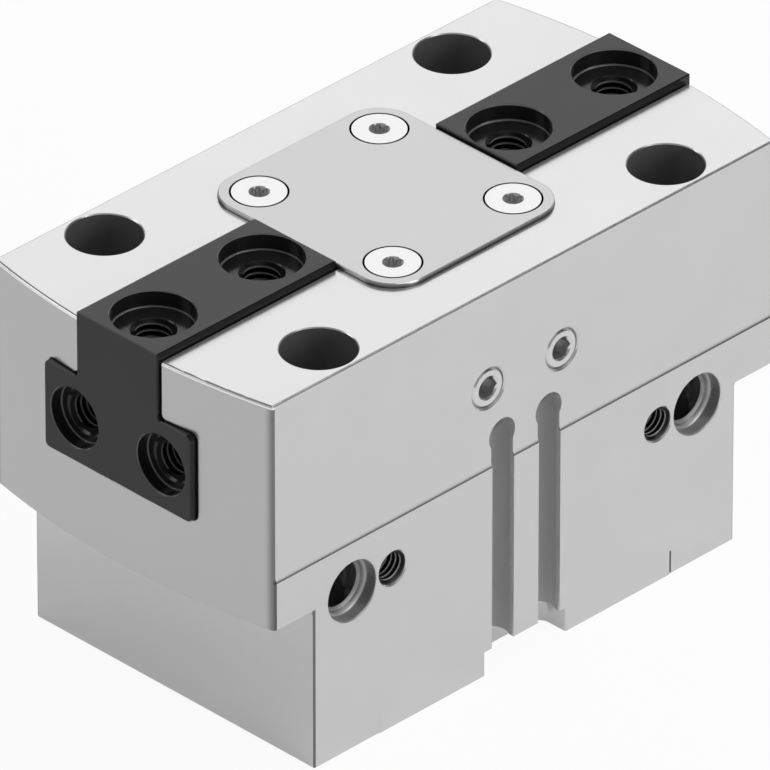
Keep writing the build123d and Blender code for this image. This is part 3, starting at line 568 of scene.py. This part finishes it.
# The turns of an internal thread, swept from one tooth along a helix.
# The tooth stands on the bore's wall, and the mouth's cone cuts the first turn.
def thread(name, mouth, outwards, hole, start, end, body, slot_name):
    """Turns of the thread of a hole (radius, mouth radius, pitch) from start to end below its mouth."""
    radius, mouth_radius, pitch = hole
    root = THREAD_ROOT_SHARE * pitch
    crest = THREAD_CREST_SHARE * pitch
    height = THREAD_DEPTH_SHARE * pitch
    turns = max(1, round((end - start) / pitch))
    deselect()
    bpy.ops.mesh.primitive_plane_add(size=1.0, rotation=(math.pi / 2, 0, 0))
    tooth = bpy.context.object
    tooth.name = name
    tooth.scale = (height + THREAD_EMBED, root, 1.0)
    tooth.location = (radius + (THREAD_EMBED - height) / 2, 0, -end + root / 2)
    bpy.ops.object.transform_apply(location=True, rotation=True, scale=True)
    # The inner edge becomes the crest, and the face goes, so that only the outline is swept
    bpy.ops.object.mode_set(mode="EDIT")
    bpy.ops.mesh.select_mode(type="VERT")
    bpy.ops.mesh.select_all(action="DESELECT")
    bpy.ops.object.mode_set(mode="OBJECT")
    for vertex in tooth.data.vertices:
        vertex.select = vertex.co.x < radius - height / 2
    bpy.ops.object.mode_set(mode="EDIT")
    bpy.ops.transform.resize(value=(1, 1, crest / root))
    bpy.ops.mesh.select_all(action="SELECT")
    bpy.ops.mesh.delete(type="ONLY_FACE")
    bpy.ops.object.mode_set(mode="OBJECT")
    sweep = tooth.modifiers.new("sweep", "SCREW")
    sweep.axis = "Z"
    sweep.screw_offset = pitch
    sweep.iterations = turns
    sweep.steps = THREAD_STEPS
    sweep.render_steps = THREAD_STEPS
    bpy.ops.object.modifier_apply(modifier="sweep")
    bpy.ops.object.mode_set(mode="EDIT")
    bpy.ops.mesh.select_all(action="SELECT")
    bpy.ops.mesh.fill_holes(sides=TOOTH_CORNERS)
    bpy.ops.mesh.normals_make_consistent(inside=False)
    bpy.ops.object.mode_set(mode="OBJECT")
    # Nothing stands in the cone of the mouth
    cone_foot = radius - mouth_radius
    for vertex in tooth.data.vertices:
        vertex.co.z = min(vertex.co.z, -THREAD_EMBED)
        now = math.hypot(vertex.co.x, vertex.co.y)
        cone = mouth_radius + vertex.co.z + CONE_EMBED
        if vertex.co.z > cone_foot and now < cone:
            vertex.co.x *= cone / now
            vertex.co.y *= cone / now
    place_in_hole(tooth, mouth, outwards)
    make_active(tooth)
    bpy.ops.object.shade_smooth_by_angle(angle=SMOOTH_ANGLE)
    tooth.data.materials.append(flank_painted_shade[slot_name])
    tooth.data.materials.append(crest_painted_highlight[slot_name])
    axis = Vector(outwards)
    for face in tooth.data.polygons:
        arm = face.center - mouth
        if (arm - axis * arm.dot(axis)).length < radius - CREST_REACH * height:
            face.material_index = 1
    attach(tooth, body)


def place_in_hole(piece, mouth, outwards):
    """Turn a piece made along Z into its hole, with its seam on the camera's side."""
    axis = Vector(outwards)
    seam = (towards_camera() - axis * towards_camera().dot(axis)).normalized()
    turn = Matrix((seam, axis.cross(seam), axis)).transposed().to_4x4()
    piece.data.transform(Matrix.Translation(mouth) @ turn)


def lead_in(name, mouth, outwards, body):
    """Cone from a seat's floor down to the crest of the first turn."""
    deselect()
    wall = SIDE_MOUTH + THREAD_EMBED
    bpy.ops.mesh.primitive_circle_add(vertices=SIDE_LEAD_FACETS, radius=wall)
    ring = bpy.context.object
    ring.name = name
    bpy.ops.object.mode_set(mode="EDIT")
    bpy.ops.mesh.select_all(action="SELECT")
    now = (wall, 0.0)
    behind = (SIDE_HOLE + THREAD_EMBED, -SIDE_LEAD - SIDE_LEAD_BACK)
    for corner in (*SIDE_LEAD_STEPS, (SIDE_CREST, -SIDE_LEAD), behind, (wall, -SIDE_LEAD_RIM), (wall, 0.0)):
        bpy.ops.mesh.extrude_edges_move(TRANSFORM_OT_translate={"value": (0, 0, corner[1] - now[1])})
        share = corner[0] / now[0]
        bpy.ops.transform.resize(value=(share, share, 1))
        now = corner
    bpy.ops.mesh.select_all(action="SELECT")
    bpy.ops.mesh.remove_doubles(threshold=MERGE)
    bpy.ops.mesh.normals_make_consistent(inside=False)
    bpy.ops.object.mode_set(mode="OBJECT")
    place_in_hole(ring, mouth, outwards)
    make_active(ring)
    bpy.ops.object.shade_smooth_by_angle(angle=SMOOTH_ANGLE)
    paint(ring, lead_in_finish)
    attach(ring, body)


def hole_places(mount):
    """Centres of a mount's two holes in line, in metres."""
    centre = Vector(mount["pos_m"])
    axis = Vector(mount["axis"])
    row = Vector((0, 1, 0)) if abs(axis.x) > 0.5 else Vector((1, 0, 0))
    half = mount["dims"]["spacing_x_mm"] * MM / 2
    return [centre - row * half, centre + row * half]


def jaw_threads():
    top_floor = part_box("jaw_left")[1].z - JAW_TOP_SEAT
    end_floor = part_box("jaw_right")[1].x - JAW_END_SEAT
    for side in ("left", "right"):
        for place, mouth_radius in (("top", JAW_TOP_MOUTH), ("end", JAW_END_MOUTH)):
            mount = mounts[f"jaw_{side}_{place}"]
            outwards = Vector(mount["axis"])
            hole = (mount["dims"]["hole_r_mm"] * MM, mouth_radius, M6_PITCH)
            start = THREAD_START_SHARE * M6_PITCH
            for letter, mouth in zip("ab", hole_places(mount)):
                if place == "top":
                    mouth.z = top_floor
                else:
                    mouth.x = math.copysign(end_floor, mouth.x)
                thread(f"jaw_{side}_{place}_thread_{letter}", mouth, outwards, hole, start,
                       start + M6_THREAD_DEPTH, f"{side}_jaw", "jaw_steel")


def front_threads():
    """Ports, and the side holes, whose turns the vertical bores cross."""
    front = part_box("housing")[0].y
    for name in ("port_open", "port_close"):
        port = mounts[name]
        mouth = Vector((port["pos_m"][0], front, port["pos_m"][2]))
        hole = (port["dims"]["r_mm"] * MM, PORT_MOUTH, M5_PITCH)
        start = PORT_START_SHARE * M5_PITCH
        thread(f"{name}_thread", mouth, port["axis"], hole, start, start + PORT_THREAD_DEPTH, "body",
               "housing_aluminium")
    side = mounts["side_holes"]
    hole = (side["dims"]["hole_r_mm"] * MM, SIDE_MOUTH, M8_PITCH)
    for letter, centre in zip("ab", hole_places(side)):
        mouth = Vector((centre.x, front + SIDE_SEAT, centre.z))
        lead_in(f"side_hole_{letter}_lead_in", mouth, side["axis"], "body")
        thread(f"side_hole_{letter}_thread", mouth, side["axis"], hole, *SIDE_THREAD_INNER, "body",
               "housing_aluminium")


jaw_threads()
front_threads()


# Floor, light and camera
def make_floor():
    deselect()
    bpy.ops.mesh.primitive_plane_add(size=FLOOR_SIZE)
    floor = bpy.context.object
    floor.name = "floor"
    material = bpy.data.materials.new("pale_floor")
    material.use_nodes = True
    tree = material.node_tree
    shader = tree.nodes["Principled BSDF"]
    shader.inputs["Base Color"].default_value = (*grey(FLOOR_SHADE), 1)
    shader.inputs["Roughness"].default_value = 0.9
    shader.inputs["Specular IOR Level"].default_value = 0.1
    # White shows through by a share, to the eye and in the metal, so that shadows stay pale
    white = tree.nodes.new("ShaderNodeEmission")
    seen = tree.nodes.new("ShaderNodeLightPath")
    glossy = tree.nodes.new("ShaderNodeMath")
    glossy.operation = "MULTIPLY"
    glossy.inputs[1].default_value = FLOOR_WHITE_GLOSSY
    share = tree.nodes.new("ShaderNodeMath")
    share.operation = "MULTIPLY_ADD"
    share.inputs[1].default_value = FLOOR_WHITE_SHARE
    blend = tree.nodes.new("ShaderNodeMixShader")
    tree.links.new(seen.outputs["Is Glossy Ray"], glossy.inputs[0])
    tree.links.new(seen.outputs["Is Camera Ray"], share.inputs[0])
    tree.links.new(glossy.outputs[0], share.inputs[2])
    tree.links.new(share.outputs[0], blend.inputs[0])
    tree.links.new(shader.outputs[0], blend.inputs[1])
    tree.links.new(white.outputs[0], blend.inputs[2])
    tree.links.new(blend.outputs[0], tree.nodes["Material Output"].inputs["Surface"])
    floor.data.materials.append(material)


def smooth_step(tree, output, reach, shades_there):
    """Goes over the reach from the first shade to the second."""
    node = tree.nodes.new("ShaderNodeMapRange")
    node.interpolation_type = "SMOOTHSTEP"
    for socket, value in zip(("From Min", "From Max", "To Min", "To Max"), (*reach, *shades_there)):
        node.inputs[socket].default_value = value
    tree.links.new(output, node.inputs["Value"])
    return node.outputs["Result"]


def softbox(name, place, width, height, brightness):
    """A lamp that looks at the object. Its power gives it the same brightness at any size."""
    light = bpy.data.lights.new(name, "AREA")
    light.shape = "RECTANGLE"
    light.size = width
    light.size_y = height
    light.energy = brightness * math.pi * width * height
    lamp = bpy.data.objects.new(name, light)
    bpy.context.scene.collection.objects.link(lamp)
    lamp.location = place
    direction = CAMERA_AIM - lamp.location
    lamp.rotation_euler = direction.to_track_quat("-Z", "Y").to_euler()


def make_light():
    """White round the horizon, dimmer higher up, with softboxes overhead, behind, left and in front."""
    world = bpy.data.worlds.new("studio")
    bpy.context.scene.world = world
    world.use_nodes = True
    tree = world.node_tree
    direction = tree.nodes.new("ShaderNodeTexCoord").outputs["Generated"]
    parts = tree.nodes.new("ShaderNodeSeparateXYZ")
    tree.links.new(direction, parts.inputs[0])
    height = smooth_step(tree, parts.outputs["Z"], HORIZON, (1.0, SKY_SHADE))
    # Darker on the right in front, where the upper front edge looks
    nearness = tree.nodes.new("ShaderNodeVectorMath")
    nearness.operation = "DOT_PRODUCT"
    nearness.inputs[1].default_value = DARK_SKY
    tree.links.new(direction, nearness.inputs[0])
    patch = smooth_step(tree, nearness.outputs["Value"], DARK_SKY_REACH, (1.0, DARK_SKY_SHADE))
    strength = tree.nodes.new("ShaderNodeMath")
    strength.operation = "MULTIPLY"
    tree.links.new(patch, strength.inputs[0])
    tree.links.new(height, strength.inputs[1])
    background = tree.nodes["Background"]
    tree.links.new(strength.outputs[0], background.inputs["Strength"])
    background.inputs["Color"].default_value = (1, 1, 1, 1)
    softbox("back", place=(1.0, 0.75, 0.75), width=1.5, height=0.8, brightness=1.08)
    softbox("left", place=(-0.75, 0.85, 0.7), width=0.6, height=0.5, brightness=1.8)
    softbox("overhead", place=(0.28, -0.3, 1.05), width=0.6, height=0.6, brightness=4.2)
    softbox("front", place=(0.2, -1.05, 0.35), width=0.5, height=0.5, brightness=4.8)


def make_camera():
    camera = bpy.data.objects.new("camera", bpy.data.cameras.new("camera"))
    bpy.context.scene.collection.objects.link(camera)
    camera.data.lens = CAMERA_LENS
    camera.data.sensor_width = SENSOR_WIDTH
    camera.data.clip_end = CAMERA_REACH
    towards = towards_camera()
    camera.location = CAMERA_AIM + towards * CAMERA_DISTANCE
    camera.rotation_euler = (-towards).to_track_quat("-Z", "Y").to_euler()
    bpy.context.scene.camera = camera


make_floor()
make_light()
make_camera()
bpy.context.scene.view_settings.view_transform = "Standard"
